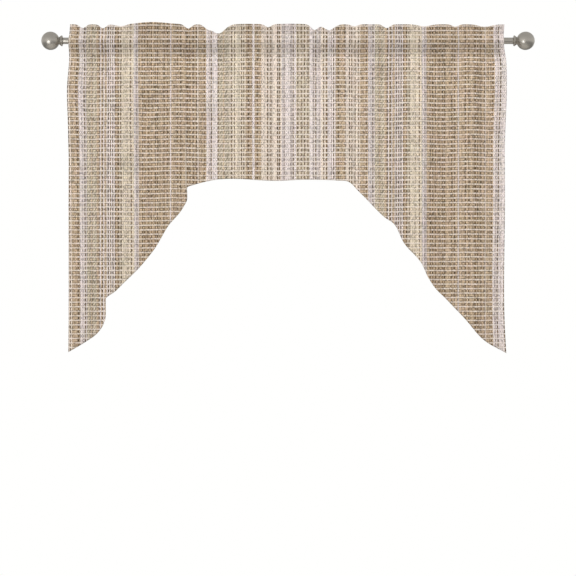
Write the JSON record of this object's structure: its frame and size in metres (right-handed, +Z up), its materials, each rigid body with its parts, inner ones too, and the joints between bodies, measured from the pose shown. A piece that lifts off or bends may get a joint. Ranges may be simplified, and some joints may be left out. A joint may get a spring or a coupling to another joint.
{
  "type": "swag and tail drape on a curtain rod",
  "caption": "Short striped woven window drape with an arched middle and a pointed tail at each side, hung by its rod pocket on a metal rod with ball ends.",
  "frame": {"origin": "on the rod's axis, at the middle of its length", "axes": "+X along the rod to the right as seen from the room, +Y towards the wall, +Z up"},
  "size_m": [1.3732, 0.0508, 0.9213],
  "materials": {
    "striped_cloth": "coarse open-looking weave in brown, cream and pale lilac stripes",
    "brushed_nickel": "satin brushed nickel plate"
  },
  "bodies": {
    "root": {"drape": "striped_cloth", "rod": "brushed_nickel", "collar_left": "brushed_nickel", "collar_right": "brushed_nickel", "finial_left": "brushed_nickel", "finial_right": "brushed_nickel"}
  },
  "joints": []
}
